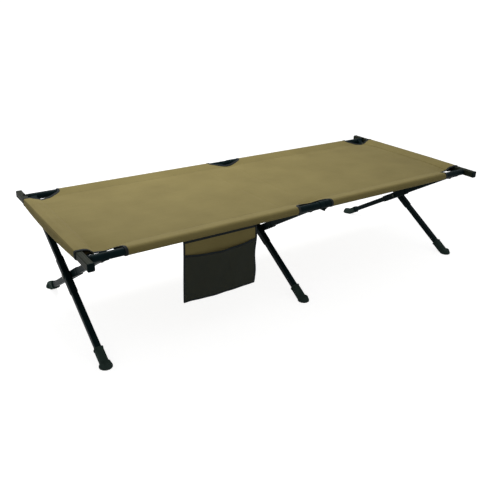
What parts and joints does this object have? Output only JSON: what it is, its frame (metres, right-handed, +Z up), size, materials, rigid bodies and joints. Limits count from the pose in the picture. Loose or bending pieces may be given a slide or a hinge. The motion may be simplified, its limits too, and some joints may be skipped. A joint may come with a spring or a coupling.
{
  "type": "folding cot",
  "caption": "Folding camp cot: a taut canvas bed on two tube rails and end bars, carried by crossed legs that close like scissors, with a hanging side pocket.",
  "frame": {"origin": "on the floor under the middle of the bed", "axes": "+X along the bed to the right seen from the pocket side, +Y to the side away from the pocket, +Z up"},
  "size_m": [2.0308, 0.868, 0.4664],
  "materials": {
    "canvas": "woven polyester canvas, khaki",
    "binding": "black woven tape",
    "mesh": "fine dark mesh",
    "frame_paint": "black powder coat on steel tube",
    "bar_aluminium": "dark anodised grooved extrusion",
    "hardware": "blackened steel",
    "black_plastic": "moulded nylon",
    "foot_rubber": "moulded rubber"
  },
  "bodies": {
    "front_frame": {"bed_canvas": "canvas", "canvas_bindings": "binding", "crossing_bolts": "hardware", "crossing_nuts": "hardware", "crossing_washers": "black_plastic", "front_bar_pins": "hardware", "front_bracket_left": "frame_paint", "front_bracket_mid": "frame_paint", "front_bracket_right": "frame_paint", "front_collar_left": "black_plastic", "front_collar_mid": "black_plastic", "front_collar_right": "black_plastic", "front_hinge_fork": "frame_paint", "front_hinge_pin": "hardware", "front_hinge_tongue": "frame_paint", "front_leg_foot_left": "foot_rubber", "front_leg_foot_mid": "foot_rubber", "front_leg_foot_right": "foot_rubber", "front_leg_left": "frame_paint", "front_leg_mid": "frame_paint", "front_leg_right": "frame_paint", "front_leg_rivets": "hardware", "front_rail_cap_left": "black_plastic", "front_rail_cap_right": "black_plastic", "front_rail_left": "frame_paint", "front_rail_right": "frame_paint"},
    "back_frame": {"back_bar_pins": "hardware", "back_bracket_left": "frame_paint", "back_bracket_mid": "frame_paint", "back_bracket_right": "frame_paint", "back_collar_left": "black_plastic", "back_collar_mid": "black_plastic", "back_collar_right": "black_plastic", "back_hinge_fork": "frame_paint", "back_hinge_pin": "hardware", "back_hinge_tongue": "frame_paint", "back_leg_foot_left": "foot_rubber", "back_leg_foot_mid": "foot_rubber", "back_leg_foot_right": "foot_rubber", "back_leg_left": "frame_paint", "back_leg_mid": "frame_paint", "back_leg_right": "frame_paint", "back_leg_rivets": "hardware", "back_rail_cap_left": "black_plastic", "back_rail_cap_right": "black_plastic", "back_rail_left": "frame_paint", "back_rail_right": "frame_paint"},
    "left_end_bar": {"left_end_bar": "bar_aluminium", "left_end_bar_caps": "black_plastic"},
    "right_end_bar": {"right_end_bar": "bar_aluminium", "right_end_bar_caps": "black_plastic"},
    "pocket": {"pocket_binding": "binding", "pocket_elastic": "binding", "pocket_mesh": "mesh", "pocket_panel": "canvas"}
  },
  "joints": [
    {"name": "scissor_fold", "type": "hinge", "parent": "front_frame", "child": "back_frame", "pos_m": [0, 0, 0.2242], "axis": [1, 0, 0], "range_deg": [0, 106], "deforming": ["bed_canvas", "canvas_bindings"]},
    {"name": "left_bar_swing", "type": "hinge", "parent": "front_frame", "child": "left_end_bar", "pos_m": [-1, -0.368, 0.449], "axis": [1, 0, 0], "range_deg": [-32, 0]},
    {"name": "right_bar_swing", "type": "hinge", "parent": "front_frame", "child": "right_end_bar", "pos_m": [1, -0.368, 0.449], "axis": [1, 0, 0], "range_deg": [-32, 0]},
    {"name": "pocket_swing", "type": "hinge", "parent": "front_frame", "child": "pocket", "pos_m": [-0.462, -0.374, 0.43077], "axis": [1, 0, 0], "range_deg": [-80, 70]}
  ],
  "couplings": [
    {"joint": "left_bar_swing", "follows": "scissor_fold", "ratio": -0.29642},
    {"joint": "right_bar_swing", "follows": "scissor_fold", "ratio": -0.29642}
  ]
}
